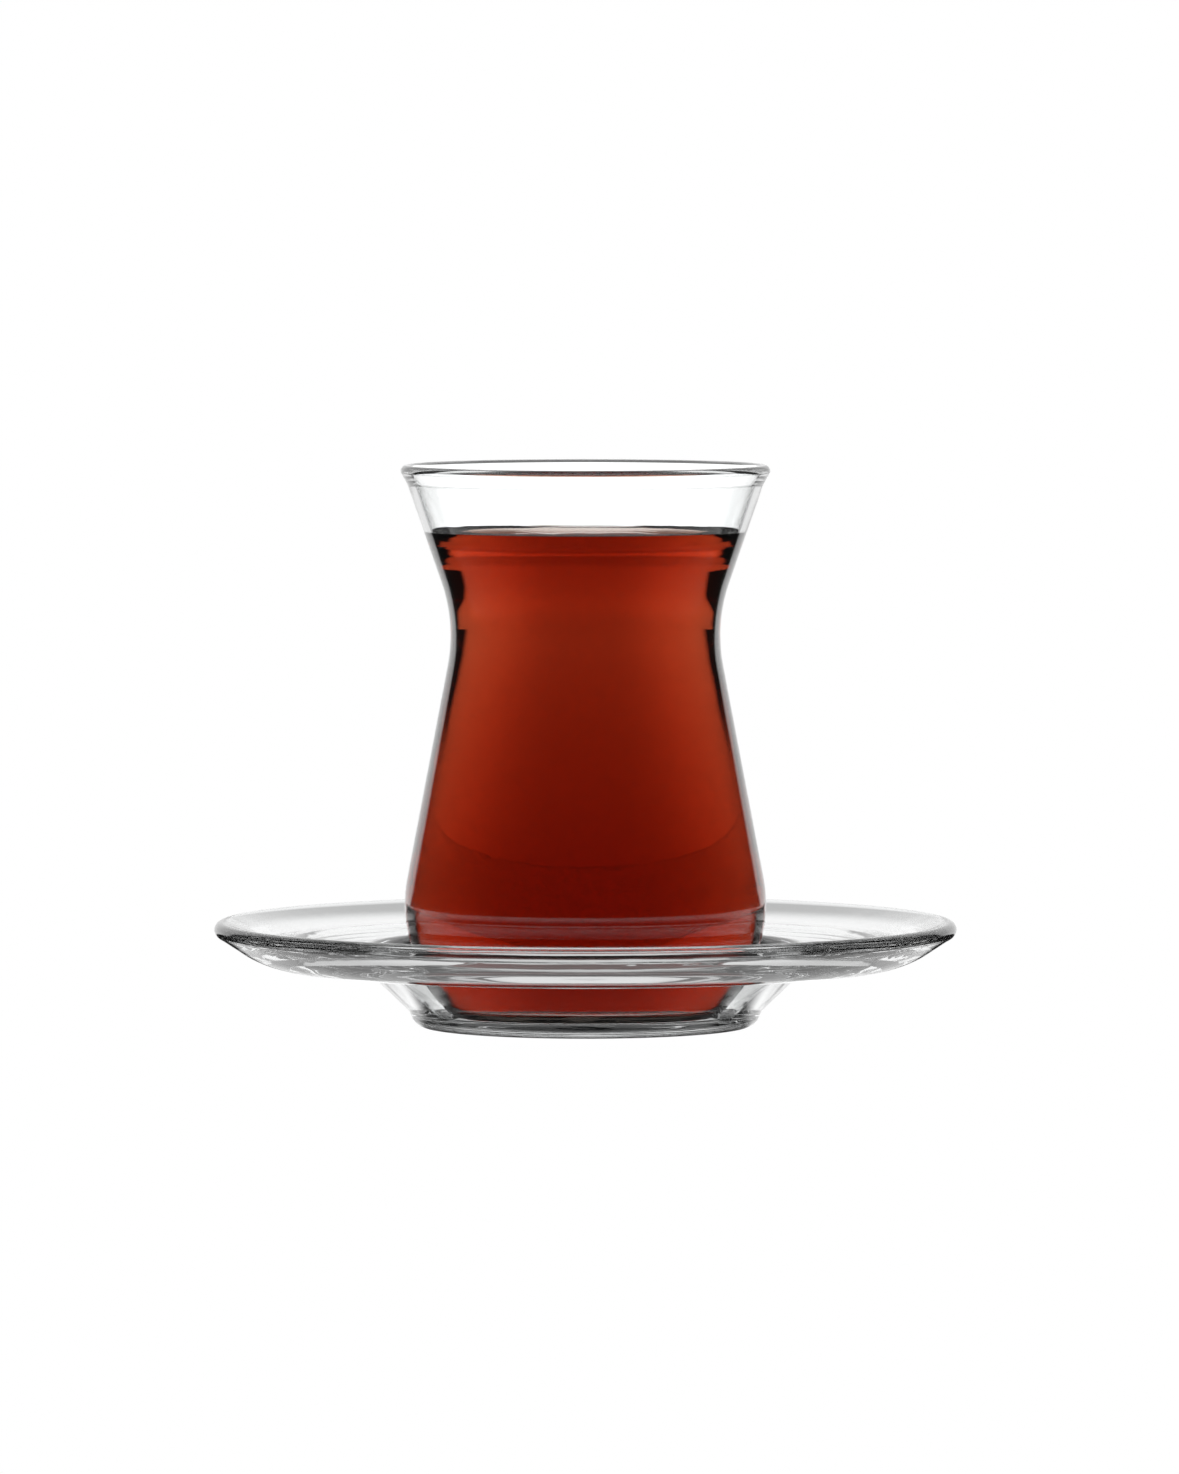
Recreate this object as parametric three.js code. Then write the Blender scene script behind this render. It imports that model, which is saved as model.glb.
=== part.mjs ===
// A small-waisted tea glass, filled with tea, standing in the well of its clear glass saucer.
// Millimetres, +Z up. The origin is the centre of the saucer's foot, on the surface that it stands on.
import * as THREE from "three";

// Saucer, pressed clear glass. Radii are measured from the axis and heights from the table.
const SAUCER_RADIUS = 64;
const LIP_ROUND = 1.4;
const LIP_CENTRE_HEIGHT = 16.75;
const LIP_UNDER_SLOPE = 33;
const LIP_UPPER_SLOPE = 24;
const DISH_UNDER_HEIGHT = 10.3;
const DISH_UNDER_ROUND = 16;
const DISH_UPPER_BEND = { r: 56.2, z: 15.5, round: 22 };
const RING_STEP_OUTER = { r: 50.7, z: 15.0, round: 0.4 };
const RING_STEP_INNER = { r: 49.2, z: 14.4, round: 0.6 };
const WELL_EDGE = { r: 37.4, z: 14.1, round: 2.6 };
const WELL_FLOOR_RADIUS = 26.3;
const WELL_FLOOR_HEIGHT = 3;
const WELL_FLOOR_ROUND = 2.4;
const COVE_RADIUS = 38.4;
const COVE_ROUND = 3.6;
const FOOT_SHOULDER = { r: 30.4, z: 2.7, round: 0.5 };
const FOOT_TURN = { r: 29.3, z: 0, round: 2.6 };
const FOOT_INNER_RADIUS = 24;
const FOOT_RECESS_RADIUS = 23.2;
const FOOT_RECESS = 0.8;

// Glass, with heights from its own base.
const GLASS_HEIGHT = 93.65;
const RIM_RADIUS = 31.8;
const RIM_BEAD = 1.0;
const FLARE_TOP_RADIUS = 31.46;
const WAIST = { r: 22.35, z: 66.4, round: 27.6 };
const HEEL = { r: 32.85, z: 11.4, round: 23.7 };
const BASE = { r: 23.31, z: 0, round: 2 };
const WALL = 1.45;
const INNER_HEEL = { r: 30.71, z: 11.96, round: 21.7 };
const INNER_BASE = { r: 22.79, z: 2.5, round: 3 };

// Tea, with heights from the base of the glass. The meniscus is where it climbs the wall.
const TEA_LEVEL = 81.8;
const MENISCUS_RISE = 0.7;
const MENISCUS_REACH = 4.5;

// The room left between pieces that touch, and the fineness of the facets.
const CONTACT_GAP = 0.15;
const SIDES = 48;
const ARC_STEP = 14;

const DEGREE = Math.PI / 180;

// The points of an arc about (r, z), from one angle to another in degrees, with 0 pointing outwards.
function arc(r, z, radius, from, to) {
  const steps = Math.max(2, Math.ceil(Math.abs(to - from) / ARC_STEP));
  const points = [];
  for (let i = 0; i <= steps; i++) {
    const angle = (from + ((to - from) * i) / steps) * DEGREE;
    points.push(new THREE.Vector2(r + radius * Math.cos(angle), z + radius * Math.sin(angle)));
  }
  return points;
}

// The points of an outline through corners { r, z, round }, with an arc at each corner that has a round.
function outline(corners) {
  const points = [];
  corners.forEach((corner, i) => {
    const here = new THREE.Vector2(corner.r, corner.z);
    if (!corner.round) {
      points.push(here);
      return;
    }
    const before = new THREE.Vector2(corners[i - 1].r, corners[i - 1].z).sub(here).normalize();
    const after = new THREE.Vector2(corners[i + 1].r, corners[i + 1].z).sub(here).normalize();
    const half = Math.acos(before.dot(after)) / 2;
    const centre = before.clone().add(after).setLength(corner.round / Math.sin(half)).add(here);
    const reach = corner.round / Math.tan(half);
    const start = before.clone().multiplyScalar(reach).add(here).sub(centre).angle() / DEGREE;
    const end = after.clone().multiplyScalar(reach).add(here).sub(centre).angle() / DEGREE;
    const turn = ((end - start + 540) % 360) - 180;
    points.push(...arc(centre.x, centre.y, corner.round, start, start + turn));
  });
  return points;
}

// A solid of revolution about Z from an outline that runs up the outside and back down the inside.
function turned(name, points, material) {
  const geometry = new THREE.LatheGeometry(points, SIDES);
  geometry.rotateX(Math.PI / 2);
  const mesh = new THREE.Mesh(geometry, material);
  mesh.name = name;
  return mesh;
}

// The radius at height z on the straight line between two corners.
function radiusAt(z, low, high) {
  return low.r + ((high.r - low.r) * (z - low.z)) / (high.z - low.z);
}

// The saucer's outline: foot, well wall, dish underside, round lip, dish top, ring step and well.
function saucerOutline() {
  const lip = { r: SAUCER_RADIUS - LIP_ROUND, z: LIP_CENTRE_HEIGHT };
  const lipArc = arc(lip.r, lip.z, LIP_ROUND, LIP_UNDER_SLOPE - 90, LIP_UPPER_SLOPE + 90);
  const lipLow = { r: lipArc[0].x, z: lipArc[0].y };
  const lipHigh = { r: lipArc.at(-1).x, z: lipArc.at(-1).y };
  const dishTurn = {
    r: lipLow.r - (lipLow.z - DISH_UNDER_HEIGHT) / Math.tan(LIP_UNDER_SLOPE * DEGREE),
    z: DISH_UNDER_HEIGHT,
    round: DISH_UNDER_ROUND,
  };
  const underside = outline([
    { r: 0, z: FOOT_RECESS },
    { r: FOOT_RECESS_RADIUS, z: FOOT_RECESS },
    { r: FOOT_INNER_RADIUS, z: 0 },
    FOOT_TURN,
    FOOT_SHOULDER,
    { r: COVE_RADIUS, z: DISH_UNDER_HEIGHT, round: COVE_ROUND },
    dishTurn,
    lipLow,
  ]);
  const top = outline([
    lipHigh,
    DISH_UPPER_BEND,
    RING_STEP_OUTER,
    RING_STEP_INNER,
    WELL_EDGE,
    { r: WELL_FLOOR_RADIUS, z: WELL_FLOOR_HEIGHT, round: WELL_FLOOR_ROUND },
    { r: 0, z: WELL_FLOOR_HEIGHT },
  ]);
  return [...underside, ...lipArc.slice(1, -1), ...top];
}

// The inside of the glass from the waist down: the far side of a wall that thickens towards the base.
function innerWaist(inset) {
  return { r: WAIST.r - WALL - inset, z: WAIST.z, round: WAIST.round + WALL };
}

// The glass's outline: base, heel, cone, waist, flare, rim bead, and the inside back to the axis.
function glassOutline() {
  const bead = { r: RIM_RADIUS - RIM_BEAD, z: GLASS_HEIGHT - RIM_BEAD };
  const flare = Math.atan2(FLARE_TOP_RADIUS - WAIST.r, bead.z - WAIST.z) / DEGREE;
  const outerOffset = (FLARE_TOP_RADIUS - bead.r) * Math.cos(flare * DEGREE);
  const innerOffset = WALL - outerOffset;
  const from = -flare - Math.acos(outerOffset / RIM_BEAD) / DEGREE;
  const to = 180 - flare + Math.acos(innerOffset / RIM_BEAD) / DEGREE;
  const rim = arc(bead.r, bead.z, RIM_BEAD, from, to);
  const outside = outline([{ r: 0, z: 0 }, BASE, HEEL, WAIST, { r: rim[0].x, z: rim[0].y }]);
  const inside = outline([
    { r: rim.at(-1).x, z: rim.at(-1).y },
    innerWaist(0),
    INNER_HEEL,
    INNER_BASE,
    { r: 0, z: INNER_BASE.z },
  ]);
  return [...outside, ...rim.slice(1, -1), ...inside];
}

// The tea's outline: the inside of the glass, less the gap, up to the level and its meniscus.
function teaOutline() {
  const heel = { ...INNER_HEEL, r: INNER_HEEL.r - CONTACT_GAP };
  const base = { ...INNER_BASE, r: INNER_BASE.r - CONTACT_GAP, z: INNER_BASE.z + CONTACT_GAP };
  const waist = innerWaist(CONTACT_GAP);
  const rimFoot = { r: FLARE_TOP_RADIUS - WALL - CONTACT_GAP, z: GLASS_HEIGHT - RIM_BEAD };
  const edge = { z: TEA_LEVEL + MENISCUS_RISE };
  edge.r = radiusAt(edge.z, waist, rimFoot);
  const wall = outline([{ r: 0, z: base.z }, base, heel, waist, edge]);
  const meniscus = [];
  for (const share of [0.25, 0.6, 1]) {
    const rise = MENISCUS_RISE * (1 - share) ** 2;
    meniscus.push(new THREE.Vector2(edge.r - MENISCUS_REACH * share, TEA_LEVEL + rise));
  }
  return [...wall, ...meniscus, new THREE.Vector2(0, TEA_LEVEL)];
}

// Clear soda-lime glass, of which each piece has its own.
function clearGlass() {
  return new THREE.MeshStandardMaterial({
    color: 0xe9eeee,
    roughness: 0.03,
    metalness: 0,
    transparent: true,
    opacity: 0.35,
  });
}

const blackTea = new THREE.MeshStandardMaterial({ color: 0x7d1f10, roughness: 0.05, metalness: 0 });

const filledGlass = new THREE.Group();
filledGlass.position.z = WELL_FLOOR_HEIGHT + CONTACT_GAP;
filledGlass.add(turned("glass", glassOutline(), clearGlass()), turned("tea", teaOutline(), blackTea));

const servedTea = new THREE.Group();
servedTea.add(turned("saucer", saucerOutline(), clearGlass()), filledGlass);

export default servedTea;
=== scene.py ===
# A small-waisted glass of black tea on its clear glass saucer, in metres, +Z up.
import math

import bmesh
import bpy
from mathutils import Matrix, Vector


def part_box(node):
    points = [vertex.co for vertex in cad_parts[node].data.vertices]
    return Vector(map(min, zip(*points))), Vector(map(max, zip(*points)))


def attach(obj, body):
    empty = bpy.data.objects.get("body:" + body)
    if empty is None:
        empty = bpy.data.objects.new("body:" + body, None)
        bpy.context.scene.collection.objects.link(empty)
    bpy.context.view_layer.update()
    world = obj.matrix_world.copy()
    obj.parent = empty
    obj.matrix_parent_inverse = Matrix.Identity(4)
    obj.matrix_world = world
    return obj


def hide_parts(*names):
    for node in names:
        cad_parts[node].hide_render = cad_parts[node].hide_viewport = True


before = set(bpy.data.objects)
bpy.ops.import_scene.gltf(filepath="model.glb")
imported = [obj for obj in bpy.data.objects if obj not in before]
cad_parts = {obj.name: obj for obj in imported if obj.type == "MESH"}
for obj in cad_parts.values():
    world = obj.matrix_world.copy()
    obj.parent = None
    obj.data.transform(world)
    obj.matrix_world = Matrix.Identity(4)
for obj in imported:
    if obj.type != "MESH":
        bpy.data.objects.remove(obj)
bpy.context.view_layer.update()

MM = 0.001
DEGREE = math.pi / 180

# Saucer: radii from the axis, heights from the table.
SAUCER_RADIUS = 64 * MM
LIP_ROUND = 1.4 * MM
LIP_CENTRE_HEIGHT = 16.75 * MM
LIP_UNDER_SLOPE = 33
LIP_UPPER_SLOPE = 24
DISH_UNDER_HEIGHT = 10.3 * MM
DISH_UNDER_ROUND = 16 * MM
DISH_UPPER_BEND = (56.2 * MM, 15.5 * MM, 22 * MM)
RING_STEP_OUTER = (50.7 * MM, 15.0 * MM, 0.4 * MM)
RING_STEP_INNER = (49.2 * MM, 14.4 * MM, 0.6 * MM)
WELL_EDGE = (37.4 * MM, 14.1 * MM, 2.6 * MM)
WELL_FLOOR_RADIUS = 26.3 * MM
WELL_FLOOR_HEIGHT = 3 * MM
WELL_FLOOR_ROUND = 2.4 * MM
COVE_RADIUS = 38.4 * MM
COVE_ROUND = 3.6 * MM
FOOT_SHOULDER = (30.4 * MM, 2.7 * MM, 0.5 * MM)
FOOT_TURN = (29.3 * MM, 0, 2.6 * MM)
FOOT_INNER_RADIUS = 24 * MM
FOOT_RECESS_RADIUS = 23.2 * MM
FOOT_RECESS = 0.8 * MM

# Glass: heights from its own base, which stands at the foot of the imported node.
GLASS_HEIGHT = 93.65 * MM
RIM_RADIUS = 31.8 * MM
RIM_BEAD = 1.0 * MM
RIM_NECK = 2.2 * MM
RIM_NECK_ROUND = 3 * MM
FLARE_TOP_RADIUS = 31.46 * MM
WAIST = (22.35 * MM, 66.4 * MM, 27.6 * MM)
HEEL = (32.85 * MM, 11.4 * MM, 23.7 * MM)
BASE = (23.31 * MM, 0, 2 * MM)
WALL = 1.45 * MM
INNER_HEEL = (30.71 * MM, 11.96 * MM, 21.7 * MM)
INNER_BASE = (22.79 * MM, 2.5 * MM, 3 * MM)
INNER_FLOOR_ROOM = 0.1 * MM
GLASS_BASE_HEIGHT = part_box("glass")[0][2]

# Tea: it climbs the wall in a meniscus, and reaches a little way into the glass around it.
TEA_LEVEL = 81.8 * MM
MENISCUS_RISE = 0.7 * MM
MENISCUS_REACH = 9 * MM
CAPILLARY_LENGTH = 1.5 * MM
MENISCUS_STEPS = 24
TEA_INTO_WALL = 0.2 * MM

# The fineness of the turned meshes.
SIDES = 384
ARC_STEP = 3
LINE_STEP = 4 * MM
MERGE_DISTANCE = 0.001 * MM
FACING_UP = 0.7

# Camera, from the photograph's perspective.
CAMERA_PLACE = (0.0007, -2.067, 0.1656)
CAMERA_TARGET = (0.0007, 0, 0.0499)
LENS_MM = 293.5
SENSOR_MM = 36
VIEW_END = 100

# Stage: a round white floor and a white surround, with levels of light set by trial against the photograph.
FLOOR_RADIUS = 30
FLOOR_SIDES = 96
FLOOR_DROP = 0.05 * MM

# Light by bearing, away from +Y to either side: bright behind, brighter beside, and dark before the front.
BACK_LEVEL = 1.4
SIDE_LEVEL = 1.95
SIDE_RISE = (4 * DEGREE, 20 * DEGREE)
SIDE_FALL = (26 * DEGREE, 44 * DEGREE)
SIDE_FALL_LEVEL = 0.75
FLOOR_WINDOW = 38 * DEGREE
WINDOW_EDGE = 3 * DEGREE
WINDOW_AGAIN = (60 * DEGREE, 66 * DEGREE)
DARK_LEVEL = 0.02
MIRRORED_WINDOW = (32 * DEGREE, 38 * DEGREE)

# Light of the surround, by height above the horizon.
LOW_WINDOW = 47 * DEGREE
HIGH_WINDOW = 33 * DEGREE
WINDOW_NARROWS = (8 * DEGREE, 20 * DEGREE)
SKY_RISE = (0, 9 * DEGREE)
SKY_FADE = (18 * DEGREE, 32 * DEGREE)
SKY_LEVEL = 0.04
SKY_MIRROR_LEVEL = 0.06

# Light of the far floor, where distances are from the axis in metres.
FLOOR_LEVEL = 0.82
CLEAR_LEVEL = 1.3
WET_FLOOR = (0.13, 0.19)
DRY_MIRROR_BEARING = (5 * DEGREE, 10 * DEGREE)
DRY_MIRROR_BACK_LEVEL = 0.2
DRY_MIRROR_LEVEL = 0.35

# Painted shadow: a dim ring of floor around the saucer, dimmest behind it, seen through clear glass.
SHADE_RING_FLOOR = (0.07, 0.105)
SHADE_RING_END = (0.24, 0.36)
SHADE_RING_BEARING = (10 * DEGREE, 16 * DEGREE)
SHADE_RING_LEVELS = (0.2, 0.45)
SHADE_RING_BOUNCES = (0.2, 0.8)

# Light of the floor under the saucer and close by it.
DISH_EDGE = (0.035, 0.045)
FOOT_LEVEL = 1.35
NEAR_BACK_END = (54 * DEGREE, 62 * DEGREE)
NEAR_SIDE = (60 * DEGREE, 72 * DEGREE)
DISH_BEARING = (33 * DEGREE, 36 * DEGREE)
DISH_BEARING_END = (60 * DEGREE, 66 * DEGREE)
DISH_MIRROR_LEVELS = (1, 0.6, 0.82)
FRONT_BEARING = (85 * DEGREE, 105 * DEGREE)
FIRST_BOUNCE = (0.2, 0.8)
SECOND_BOUNCE = (1.2, 1.8)
NEAR_FLOOR = (0.07, 0.09)
MIRRORED_NEAR = (0.038, 0.042)
MIRRORED_BESIDE = (95 * DEGREE, 110 * DEGREE)

# How many walls light crosses before it counts as coming through tea, and how often tea may turn it back.
DRY_CROSSINGS = (4, 5)
WET_BOUNCES = (2.5, 4.5)
WET_MIRROR_LEVEL = 1.6

# How many walls light may cross or be mirrored by.
MOST_CROSSINGS = 32
MOST_MIRRORS = 16

# Settings of a smooth change between two levels.
SMOOTH = {"interpolation_type": "SMOOTHSTEP"}


def arc(centre, radius, start, end):
    """Points of an arc in the (radius, height) plane, from one angle to another in degrees."""
    steps = max(2, math.ceil(abs(end - start) / ARC_STEP))
    points = []
    for i in range(steps + 1):
        angle = math.radians(start + (end - start) * i / steps)
        points.append(centre + radius * Vector((math.cos(angle), math.sin(angle))))
    return points


def outline(corners):
    """Points through corners (radius, height, round), with an arc at each corner that has a round."""
    points = []
    for i, corner in enumerate(corners):
        here = Vector(corner[:2])
        if len(corner) == 2:
            points.append(here)
            continue
        before = (Vector(corners[i - 1][:2]) - here).normalized()
        after = (Vector(corners[i + 1][:2]) - here).normalized()
        half = before.angle(after) / 2
        centre = here + (before + after).normalized() * corner[2] / math.sin(half)
        reach = corner[2] / math.tan(half)
        first = here + before * reach - centre
        last = here + after * reach - centre
        start = math.degrees(math.atan2(first.y, first.x))
        end = math.degrees(math.atan2(last.y, last.x))
        turn = (end - start + 540) % 360 - 180
        points += arc(centre, corner[2], start, start + turn)
    return points


def evenly(points):
    """The same outline with its long straights cut into short steps."""
    stepped = [points[0]]
    for start, end in zip(points, points[1:]):
        count = max(1, math.ceil((end - start).length / LINE_STEP))
        stepped += [start.lerp(end, i / count) for i in range(1, count + 1)]
    return stepped


def radius_at(height, low, high):
    """Radius at a height on the straight line between two outline points."""
    return low[0] + (high[0] - low[0]) * (height - low[1]) / (high[1] - low[1])


def turned(name, points, base_height=0):
    """A smooth mesh of an outline turned about the upright axis."""
    mesh = bpy.data.meshes.new(name)
    shape = bmesh.new()
    rail = [shape.verts.new((p.x, 0, p.y + base_height)) for p in evenly(points)]
    edges = [shape.edges.new(pair) for pair in zip(rail, rail[1:])]
    bmesh.ops.spin(shape, geom=rail + edges, cent=(0, 0, 0), axis=(0, 0, 1), angle=math.tau,
                   steps=SIDES, use_merge=True)
    bmesh.ops.remove_doubles(shape, verts=shape.verts, dist=MERGE_DISTANCE)
    bmesh.ops.recalc_face_normals(shape, faces=shape.faces)
    shape.to_mesh(mesh)
    shape.free()
    mesh.shade_smooth()
    piece = bpy.data.objects.new(name, mesh)
    bpy.context.scene.collection.objects.link(piece)
    return piece


def saucer_outline():
    """Foot, well wall, dish underside, round lip, dish top, ring step and well."""
    lip = Vector((SAUCER_RADIUS - LIP_ROUND, LIP_CENTRE_HEIGHT))
    lip_arc = arc(lip, LIP_ROUND, LIP_UNDER_SLOPE - 90, LIP_UPPER_SLOPE + 90)
    low = lip_arc[0]
    turn_radius = low.x - (low.y - DISH_UNDER_HEIGHT) / math.tan(math.radians(LIP_UNDER_SLOPE))
    underside = outline([
        (0, FOOT_RECESS),
        (FOOT_RECESS_RADIUS, FOOT_RECESS),
        (FOOT_INNER_RADIUS, 0),
        FOOT_TURN,
        FOOT_SHOULDER,
        (COVE_RADIUS, DISH_UNDER_HEIGHT, COVE_ROUND),
        (turn_radius, DISH_UNDER_HEIGHT, DISH_UNDER_ROUND),
        tuple(low),
    ])
    top = outline([
        tuple(lip_arc[-1]),
        DISH_UPPER_BEND,
        RING_STEP_OUTER,
        RING_STEP_INNER,
        WELL_EDGE,
        (WELL_FLOOR_RADIUS, WELL_FLOOR_HEIGHT, WELL_FLOOR_ROUND),
        (0, WELL_FLOOR_HEIGHT),
    ])
    return underside + lip_arc[1:-1] + top


def inner_waist(outwards=0):
    """The waist's corner on the inside of the wall, or moved outwards into it."""
    return (WAIST[0] - WALL + outwards, WAIST[1], WAIST[2] + WALL - outwards)


def inner_flare_top(outwards=0):
    """The top of the flare's inside, level with the bead's middle, or moved outwards into the wall."""
    slant = math.hypot(FLARE_TOP_RADIUS - WAIST[0], GLASS_HEIGHT - RIM_BEAD - WAIST[1])
    across = WALL * slant / (GLASS_HEIGHT - RIM_BEAD - WAIST[1])
    return (FLARE_TOP_RADIUS - across + outwards, GLASS_HEIGHT - RIM_BEAD)


def tea_edge(outwards=0):
    """Where the tea's meniscus meets the wall."""
    height = TEA_LEVEL + MENISCUS_RISE
    return (radius_at(height, inner_waist(outwards), inner_flare_top(outwards)), height)


def tangent_angle(point, centre, radius, side):
    """Degrees where a line from a point touches a circle, on its outer (1) or inner (-1) half."""
    away = Vector(point) - centre
    spread = math.acos(radius / away.length)
    return math.degrees(math.atan2(away.y, away.x) + side * spread)


def glass_outline():
    """Base, heel, cone, waist, flare and rim bead, then the inside back to the axis."""
    bead = Vector((RIM_RADIUS - RIM_BEAD, GLASS_HEIGHT - RIM_BEAD))
    neck_height = bead.y - RIM_NECK
    outer_neck = (radius_at(neck_height, WAIST, (FLARE_TOP_RADIUS, bead.y)), neck_height, RIM_NECK_ROUND)
    inner_neck = (radius_at(neck_height, inner_waist(), inner_flare_top()), neck_height, RIM_NECK_ROUND)
    start = tangent_angle(outer_neck[:2], bead, RIM_BEAD, 1)
    end = tangent_angle(inner_neck[:2], bead, RIM_BEAD, -1) + 360
    rim = arc(bead, RIM_BEAD, start, end)
    outside = outline([(0, 0), BASE, HEEL, WAIST, outer_neck, tuple(rim[0])])
    inside = outline([
        tuple(rim[-1]),
        inner_neck,
        tea_edge(),
        inner_waist(),
        INNER_HEEL,
        INNER_BASE,
        (0, INNER_BASE[1]),
    ])
    return outside + rim[1:-1] + inside


def tea_outline():
    """The inside of the glass, a little into its wall, up to the meniscus and the level."""
    base, heel = ((r + TEA_INTO_WALL, z - TEA_INTO_WALL, turn) for r, z, turn in (INNER_BASE, INNER_HEEL))
    wall = outline([(0, base[1]), base, heel, inner_waist(TEA_INTO_WALL), tea_edge(TEA_INTO_WALL)])
    radius, _ = tea_edge()
    surface = []
    for i in range(MENISCUS_STEPS + 1):
        away = MENISCUS_REACH * (i / MENISCUS_STEPS) ** 2
        rise = MENISCUS_RISE * math.exp(-away / CAPILLARY_LENGTH)
        surface.append(Vector((radius - away, TEA_LEVEL + rise)))
    return wall + surface + [Vector((0, TEA_LEVEL))]


def linear(hex_colour):
    """An sRGB hex colour as a linear RGBA tuple."""
    channels = [int(hex_colour[i:i + 2], 16) / 255 for i in (1, 3, 5)]
    return tuple(c / 12.92 if c <= 0.04045 else ((c + 0.055) / 1.055) ** 2.4 for c in channels) + (1,)


def add_node(tree, kind, inputs=(), output=0, **settings):
    """Adds a node, sets its properties, sets or links its inputs, and returns one of its outputs."""
    added = tree.nodes.new("ShaderNode" + kind)
    for name, value in settings.items():
        setattr(added, name, value)
    for name, value in inputs.items() if isinstance(inputs, dict) else enumerate(inputs):
        if isinstance(value, bpy.types.NodeSocket):
            tree.links.new(value, added.inputs[name])
        else:
            added.inputs[name].default_value = value
    return added.outputs[output] if added.outputs else None


def bare_tree(owner):
    """The emptied node tree of a material or a world."""
    owner.use_nodes = True
    owner.node_tree.nodes.clear()
    return owner.node_tree


def clear_material(name, colours, ior, mirror, wave, absorption=None, density=0):
    """A clear material: its index bends light, its waves (size, depth) swirl it, and depth tints it."""
    material = bpy.data.materials.new(name)
    tree = bare_tree(material)
    place = add_node(tree, "TexCoord", output="Object")
    noise = add_node(tree, "TexNoise", {"Vector": place, "Scale": 1 / wave[0], "Detail": WAVE_DETAIL})
    tint = add_node(tree, "Mix", {0: noise, 6: colours[0], 7: colours[1]}, 2, data_type="RGBA")
    bump = add_node(tree, "Bump", {"Height": noise, "Distance": wave[1]})
    layers = {"Surface": add_node(tree, "BsdfPrincipled", {
        "Base Color": tint, "Roughness": POLISHED, "IOR": ior, "Transmission Weight": 1,
        "Specular Tint": mirror, "Normal": bump,
    })}
    if absorption:
        layers["Volume"] = add_node(tree, "VolumeAbsorption", {"Color": absorption, "Density": density})
    add_node(tree, "OutputMaterial", layers)
    return material


WHITE = linear("#ffffff")
BLACK = linear("#000000")
POLISHED = 0
WAVE_DETAIL = 2

# Pressed soda-lime glass: nearly colourless, so it shows by the light that it bends, mirrors and swirls.
GLASS_IOR = 1.52
GLASS_COLOURS = (linear("#f9fbfb"), linear("#ffffff"))
PRESSED_WAVE = (14 * MM, 0.08 * MM)
pressed_glass = clear_material("pressed_soda_lime_glass", GLASS_COLOURS, GLASS_IOR, WHITE, PRESSED_WAVE)

# The same glass wet with tea, where hardly anything is mirrored, because the two indices are close.
wet_glass = clear_material("soda_lime_glass_wet_with_tea", GLASS_COLOURS, GLASS_IOR, BLACK, PRESSED_WAVE)

# Black tea, brewed strong: water with an amber dye, clear brown-red where deep, with faint ripples.
# It mirrors hardly anything of its own, because glass covers all but its top.
TEA_IOR = 1.33
TEA_COLOURS = (linear("#fff8f0"), linear("#ffffff"))
TEA_RIPPLE = (18 * MM, 0.03 * MM)
TEA_TINT = linear("#de8c29")
TEA_DENSITY = 134
brewed_tea = clear_material("brewed_black_tea", TEA_COLOURS, TEA_IOR, BLACK, TEA_RIPPLE,
                            TEA_TINT, TEA_DENSITY)


def wet_inside(piece, dry, wet):
    """Gives a piece the dry material, and the wet one on its inside below the tea's edge."""
    piece.data.materials.append(dry)
    piece.data.materials.append(wet)
    low = GLASS_BASE_HEIGHT + INNER_BASE[1] - INNER_FLOOR_ROOM
    high = GLASS_BASE_HEIGHT + tea_edge()[1]
    for face in piece.data.polygons:
        middle = face.center
        inwards = face.normal.x * middle.x + face.normal.y * middle.y < 0
        inside = inwards or face.normal.z > FACING_UP
        face.material_index = int(inside and low < middle.z < high)


saucer = turned("saucer_pressed_glass", saucer_outline())
saucer.data.materials.append(pressed_glass)

glass = turned("tea_glass_pressed_glass", glass_outline(), GLASS_BASE_HEIGHT)
wet_inside(glass, pressed_glass, wet_glass)

tea = turned("black_tea", tea_outline(), GLASS_BASE_HEIGHT)
tea.data.materials.append(brewed_tea)

dressed = (
    (saucer, "saucer", "clear_glass"),
    (glass, "glass", "clear_glass"),
    (tea, "tea", "tea"),
)
for piece, node, slot in dressed:
    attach(piece, "root")
    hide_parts(node)


def bearing_of(tree, direction):
    """The bearing of a direction away from +Y, to either side."""
    axes = [add_node(tree, "SeparateXYZ", (direction,), axis) for axis in "XY"]
    bearing = add_node(tree, "Math", axes, operation="ARCTAN2")
    return add_node(tree, "Math", (bearing,), operation="ABSOLUTE")


def open_light(tree, aside):
    """Light by its bearing: bright behind, and brighter to either side."""
    rise = add_node(tree, "MapRange", (aside, *SIDE_RISE, BACK_LEVEL, SIDE_LEVEL), **SMOOTH)
    fall = add_node(tree, "MapRange", (aside, *SIDE_FALL, 1, SIDE_FALL_LEVEL), **SMOOTH)
    return add_node(tree, "Math", (rise, fall), operation="MULTIPLY")


def between_windows(tree, aside, window):
    """1 in the window behind and in the one in front, and dark between the two."""
    beyond = add_node(tree, "Math", (aside, window), operation="SUBTRACT")
    back = add_node(tree, "MapRange", (beyond, -WINDOW_EDGE, WINDOW_EDGE, 1, DARK_LEVEL), **SMOOTH)
    front = add_node(tree, "MapRange", (aside, *WINDOW_AGAIN), **SMOOTH)
    return add_node(tree, "Math", (back, front), operation="MAXIMUM")


def near_light(tree, aside, reach):
    """Light from the floor around the saucer: bright behind and in front, and dark between the two."""
    back = add_node(tree, "MapRange", (aside, *NEAR_BACK_END, 1, DARK_LEVEL), **SMOOTH)
    front = add_node(tree, "MapRange", (aside, *NEAR_SIDE, DARK_LEVEL, 1), **SMOOTH)
    sectors = add_node(tree, "Math", (back, front), operation="MAXIMUM")
    past_foot = add_node(tree, "MapRange", (reach, *DISH_EDGE), **SMOOTH)
    return add_node(tree, "Mix", {0: past_foot, 2: FOOT_LEVEL, 3: sectors})


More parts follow.
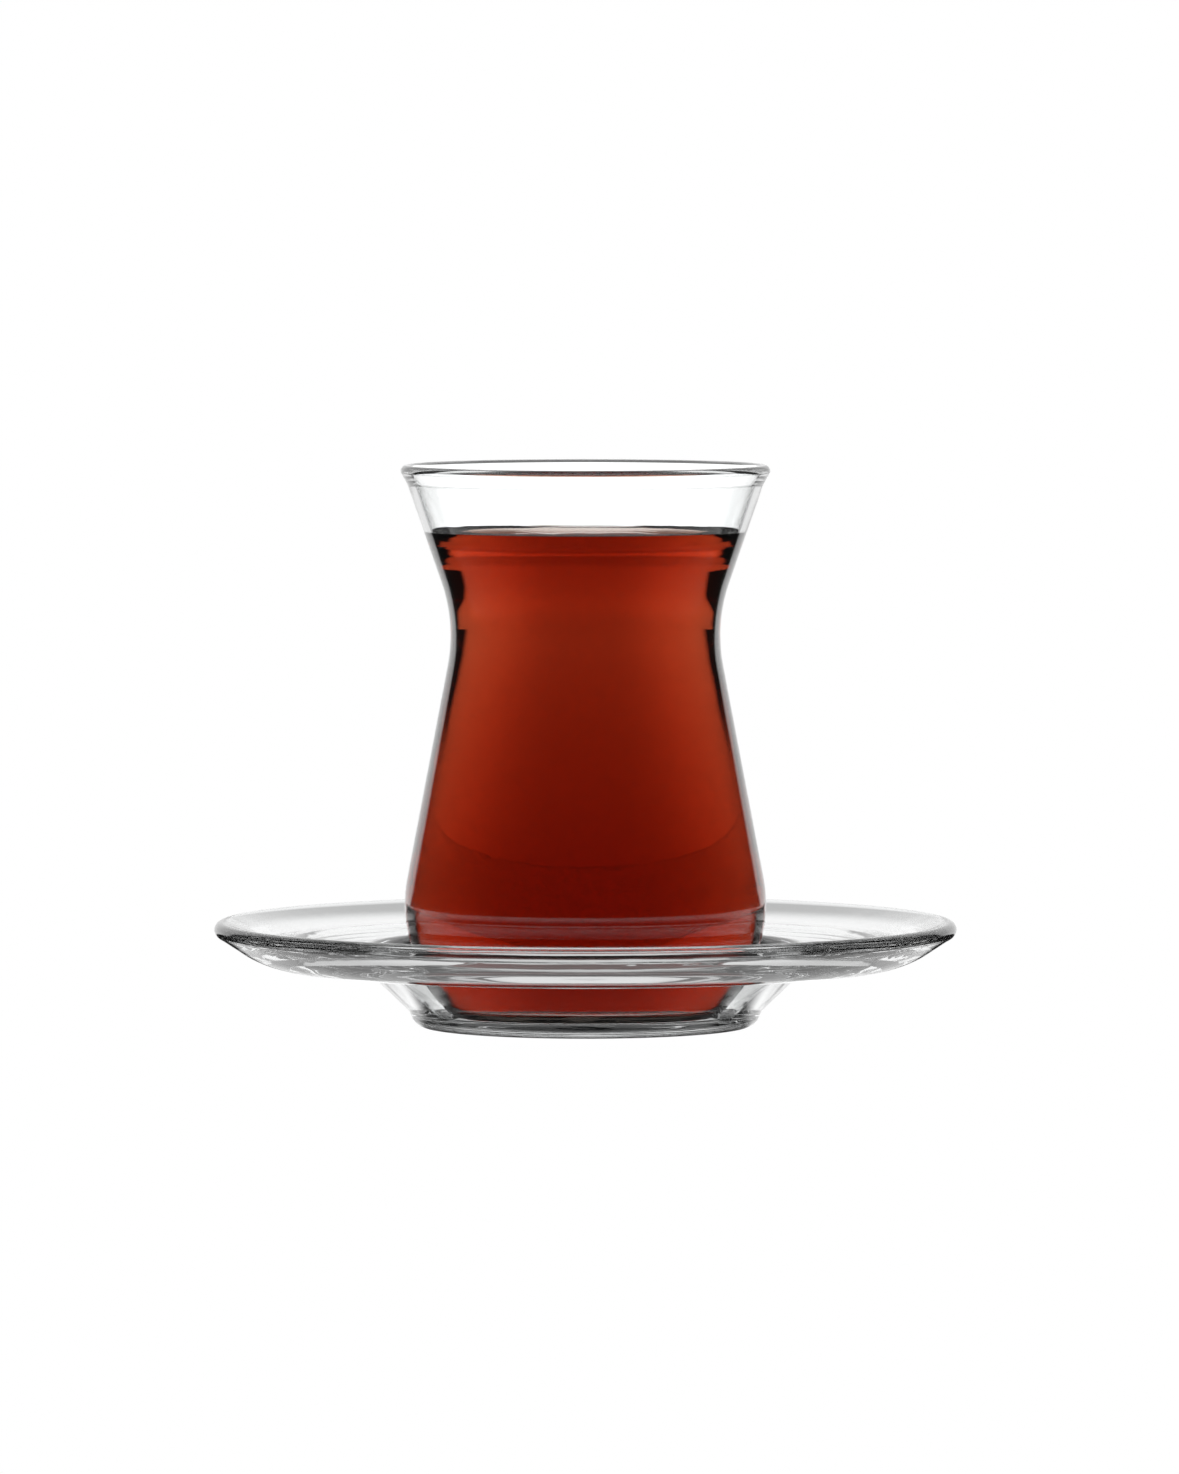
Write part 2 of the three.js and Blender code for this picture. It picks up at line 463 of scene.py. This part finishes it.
def dish_light(tree, aside, reach, bounces):
    """Near light for clear glass: less at each turn inside it, and no veil from the front."""
    back, between, side = DISH_MIRROR_LEVELS
    behind = add_node(tree, "MapRange", (aside, *DISH_BEARING, back, between), **SMOOTH)
    beside = add_node(tree, "MapRange", (aside, *DISH_BEARING_END, 0, side - between), **SMOOTH)
    kept = add_node(tree, "Math", (behind, beside), operation="ADD")
    kept = add_node(tree, "Math", (kept, bounces), operation="POWER")
    at_least_once = add_node(tree, "MapRange", (bounces, *FIRST_BOUNCE), **SMOOTH)
    at_most_once = add_node(tree, "MapRange", (bounces, *SECOND_BOUNCE, 1, 0), **SMOOTH)
    once = add_node(tree, "Math", (at_least_once, at_most_once), operation="MULTIPLY")
    front = add_node(tree, "MapRange", (aside, *FRONT_BEARING), **SMOOTH)
    veil = add_node(tree, "Math", (once, front), operation="MULTIPLY")
    lit = add_node(tree, "Mix", {0: veil, 2: near_light(tree, aside, reach), 3: DARK_LEVEL})
    return add_node(tree, "Math", (lit, kept), operation="MULTIPLY")


def shade_ring_light(tree, aside, bounces):
    """Painted shadow: light from a dim ring of floor around the saucer, dimmest behind it, for clear glass.
    """
    direct = add_node(tree, "MapRange", (aside, *SHADE_RING_BEARING, *SHADE_RING_LEVELS), **SMOOTH)
    inner = between_windows(tree, aside, DISH_BEARING[0])
    turned_back = add_node(tree, "MapRange", (bounces, *SHADE_RING_BOUNCES), **SMOOTH)
    return add_node(tree, "Mix", {0: turned_back, 2: direct, 3: inner})


def far_light(tree, bounces, lit, mirrored, kept):
    """Light from far away, of which a share from the window alone is kept when it is mirrored inside."""
    inner = add_node(tree, "Math", (bounces, 1), operation="MINIMUM")
    share = add_node(tree, "Math", (mirrored, kept), operation="MULTIPLY")
    share = add_node(tree, "Mix", {0: inner, 2: 1, 3: share})
    return add_node(tree, "Math", (lit, share), operation="MULTIPLY")


def by_ray(tree, dry, wet, mirrored):
    """White to the eye, with its own levels for light bent by clear glass, bent by tea, or mirrored."""
    bounces = add_node(tree, "LightPath", output="Glossy Depth")
    crossings = add_node(tree, "LightPath", output="Transmission Depth")
    reflected = add_node(tree, "LightPath", output="Is Reflection Ray")
    by_eye = add_node(tree, "LightPath", output="Is Camera Ray")
    few = add_node(tree, "MapRange", (bounces, *WET_BOUNCES, 1, DARK_LEVEL), **SMOOTH)
    wet = add_node(tree, "Math", (wet, few), operation="MULTIPLY")
    through_tea = add_node(tree, "MapRange", (crossings, *DRY_CROSSINGS), **SMOOTH)
    bent = add_node(tree, "Mix", {0: through_tea, 2: dry, 3: wet})
    seen = add_node(tree, "Mix", {0: reflected, 2: bent, 3: mirrored})
    return add_node(tree, "Mix", {0: by_eye, 2: seen, 3: 1})


def floor_level(tree):
    """The floor's light, by bearing and by distance from the axis."""
    place = add_node(tree, "NewGeometry", output="Position")
    reach = add_node(tree, "VectorMath", (place,), "Value", operation="LENGTH")
    aside = bearing_of(tree, place)
    bounces = add_node(tree, "LightPath", output="Glossy Depth")
    everywhere = add_node(tree, "Math", (open_light(tree, aside), FLOOR_LEVEL), operation="MULTIPLY")
    window = between_windows(tree, aside, FLOOR_WINDOW)
    lit = add_node(tree, "Math", (everywhere, window), operation="MULTIPLY")
    mirrored = add_node(tree, "MapRange", (aside, *MIRRORED_WINDOW, 1, DARK_LEVEL), **SMOOTH)

    # Through clear glass: the dish, then the dim ring of painted shadow, then the far floor.
    dish = dish_light(tree, aside, reach, bounces)
    # Painted shadow around the saucer: the floor's glow is dimmed in a ring, for light bent by clear glass.
    in_shade_ring = add_node(tree, "MapRange", (reach, *SHADE_RING_FLOOR), **SMOOTH)
    dry = add_node(tree, "Mix", {0: in_shade_ring, 2: dish, 3: shade_ring_light(tree, aside, bounces)})
    kept_levels = (DRY_MIRROR_BACK_LEVEL, DRY_MIRROR_LEVEL)
    kept = add_node(tree, "MapRange", (aside, *DRY_MIRROR_BEARING, *kept_levels), **SMOOTH)
    far = far_light(tree, bounces, lit, mirrored, kept)
    far = add_node(tree, "Math", (far, CLEAR_LEVEL), operation="MULTIPLY")
    past_shade_ring = add_node(tree, "MapRange", (reach, *SHADE_RING_END), **SMOOTH)
    dry = add_node(tree, "Mix", {0: past_shade_ring, 2: dry, 3: far})

    # Through tea: lit all around close by, and only from the windows farther out.
    far = far_light(tree, bounces, lit, mirrored, WET_MIRROR_LEVEL)
    farther_out = add_node(tree, "MapRange", (reach, *WET_FLOOR), **SMOOTH)
    wet = add_node(tree, "Mix", {0: farther_out, 2: everywhere, 3: far})

    # Mirrored: also the floor close by, but not what lies under the foot in front.
    near = add_node(tree, "MapRange", (reach, *NEAR_FLOOR, 1, 0), **SMOOTH)
    beside = add_node(tree, "MapRange", (aside, *MIRRORED_BESIDE, 1, 0), **SMOOTH)
    past_foot = add_node(tree, "MapRange", (reach, *MIRRORED_NEAR), **SMOOTH)
    shown = add_node(tree, "Math", (beside, past_foot), operation="MAXIMUM")
    near = add_node(tree, "Math", (near, shown), operation="MULTIPLY")
    mirrored = add_node(tree, "Math", (mirrored, near), operation="MAXIMUM")
    return by_ray(tree, dry, wet, mirrored)


def lay_floor():
    """A large round floor, plain white to the eye, just under the saucer's foot, glowing with painted light
    and shade to the glass.
    """
    mesh = bpy.data.meshes.new("floor")
    shape = bmesh.new()
    bmesh.ops.create_circle(shape, cap_ends=True, segments=FLOOR_SIDES, radius=FLOOR_RADIUS)
    shape.to_mesh(mesh)
    shape.free()
    floor = bpy.data.objects.new("floor", mesh)
    floor.location.z = -FLOOR_DROP
    bpy.context.scene.collection.objects.link(floor)

    # White acrylic lit from below, casting no shadow: white to the eye, painted light and shade to the
    # glass.
    material = bpy.data.materials.new("floor_with_painted_light_and_shade")
    tree = bare_tree(material)
    glow = add_node(tree, "Emission", {"Color": WHITE, "Strength": floor_level(tree)})
    add_node(tree, "OutputMaterial", {"Surface": glow})
    mesh.materials.append(material)


def light_studio():
    """A white surround down to the horizon, dimmer overhead to all but the eye."""
    world = bpy.data.worlds.new("studio")
    bpy.context.scene.world = world
    tree = bare_tree(world)
    direction = add_node(tree, "TexCoord", output="Generated")
    aside = bearing_of(tree, direction)
    height = add_node(tree, "SeparateXYZ", (direction,), "Z")
    up = add_node(tree, "Math", (height,), operation="ARCSINE")
    bounces = add_node(tree, "LightPath", output="Glossy Depth")
    window = add_node(tree, "MapRange", (up, *WINDOW_NARROWS, LOW_WINDOW, HIGH_WINDOW), **SMOOTH)
    window = between_windows(tree, aside, window)
    rise = add_node(tree, "MapRange", (up, *SKY_RISE, FLOOR_LEVEL, 1), **SMOOTH)
    fade = add_node(tree, "MapRange", (up, *SKY_FADE, 1, SKY_LEVEL), **SMOOTH)
    lit = open_light(tree, aside)
    for share in (window, rise, fade):
        lit = add_node(tree, "Math", (lit, share), operation="MULTIPLY")
    mirrored = add_node(tree, "MapRange", (aside, *MIRRORED_WINDOW, 1, DARK_LEVEL), **SMOOTH)
    dry = far_light(tree, bounces, lit, mirrored, SKY_MIRROR_LEVEL)
    wet = far_light(tree, bounces, lit, mirrored, WET_MIRROR_LEVEL)
    level = by_ray(tree, dry, wet, mirrored)
    background = add_node(tree, "Background", {"Color": WHITE, "Strength": level})
    add_node(tree, "OutputWorld", {"Surface": background})


def set_camera():
    """The photograph's viewpoint, through a long lens."""
    data = bpy.data.cameras.new("camera")
    data.lens = LENS_MM
    data.sensor_width = SENSOR_MM
    data.clip_end = VIEW_END
    camera = bpy.data.objects.new("camera", data)
    camera.location = CAMERA_PLACE
    look = Vector(CAMERA_TARGET) - Vector(CAMERA_PLACE)
    camera.rotation_euler = look.to_track_quat("-Z", "Y").to_euler()
    bpy.context.scene.collection.objects.link(camera)
    bpy.context.scene.camera = camera


lay_floor()
light_studio()
set_camera()

# White stays white, and light may cross many walls of glass.
scene = bpy.context.scene
scene.view_settings.view_transform = "Standard"
scene.cycles.max_bounces = MOST_CROSSINGS
scene.cycles.transmission_bounces = MOST_CROSSINGS
scene.cycles.glossy_bounces = MOST_MIRRORS
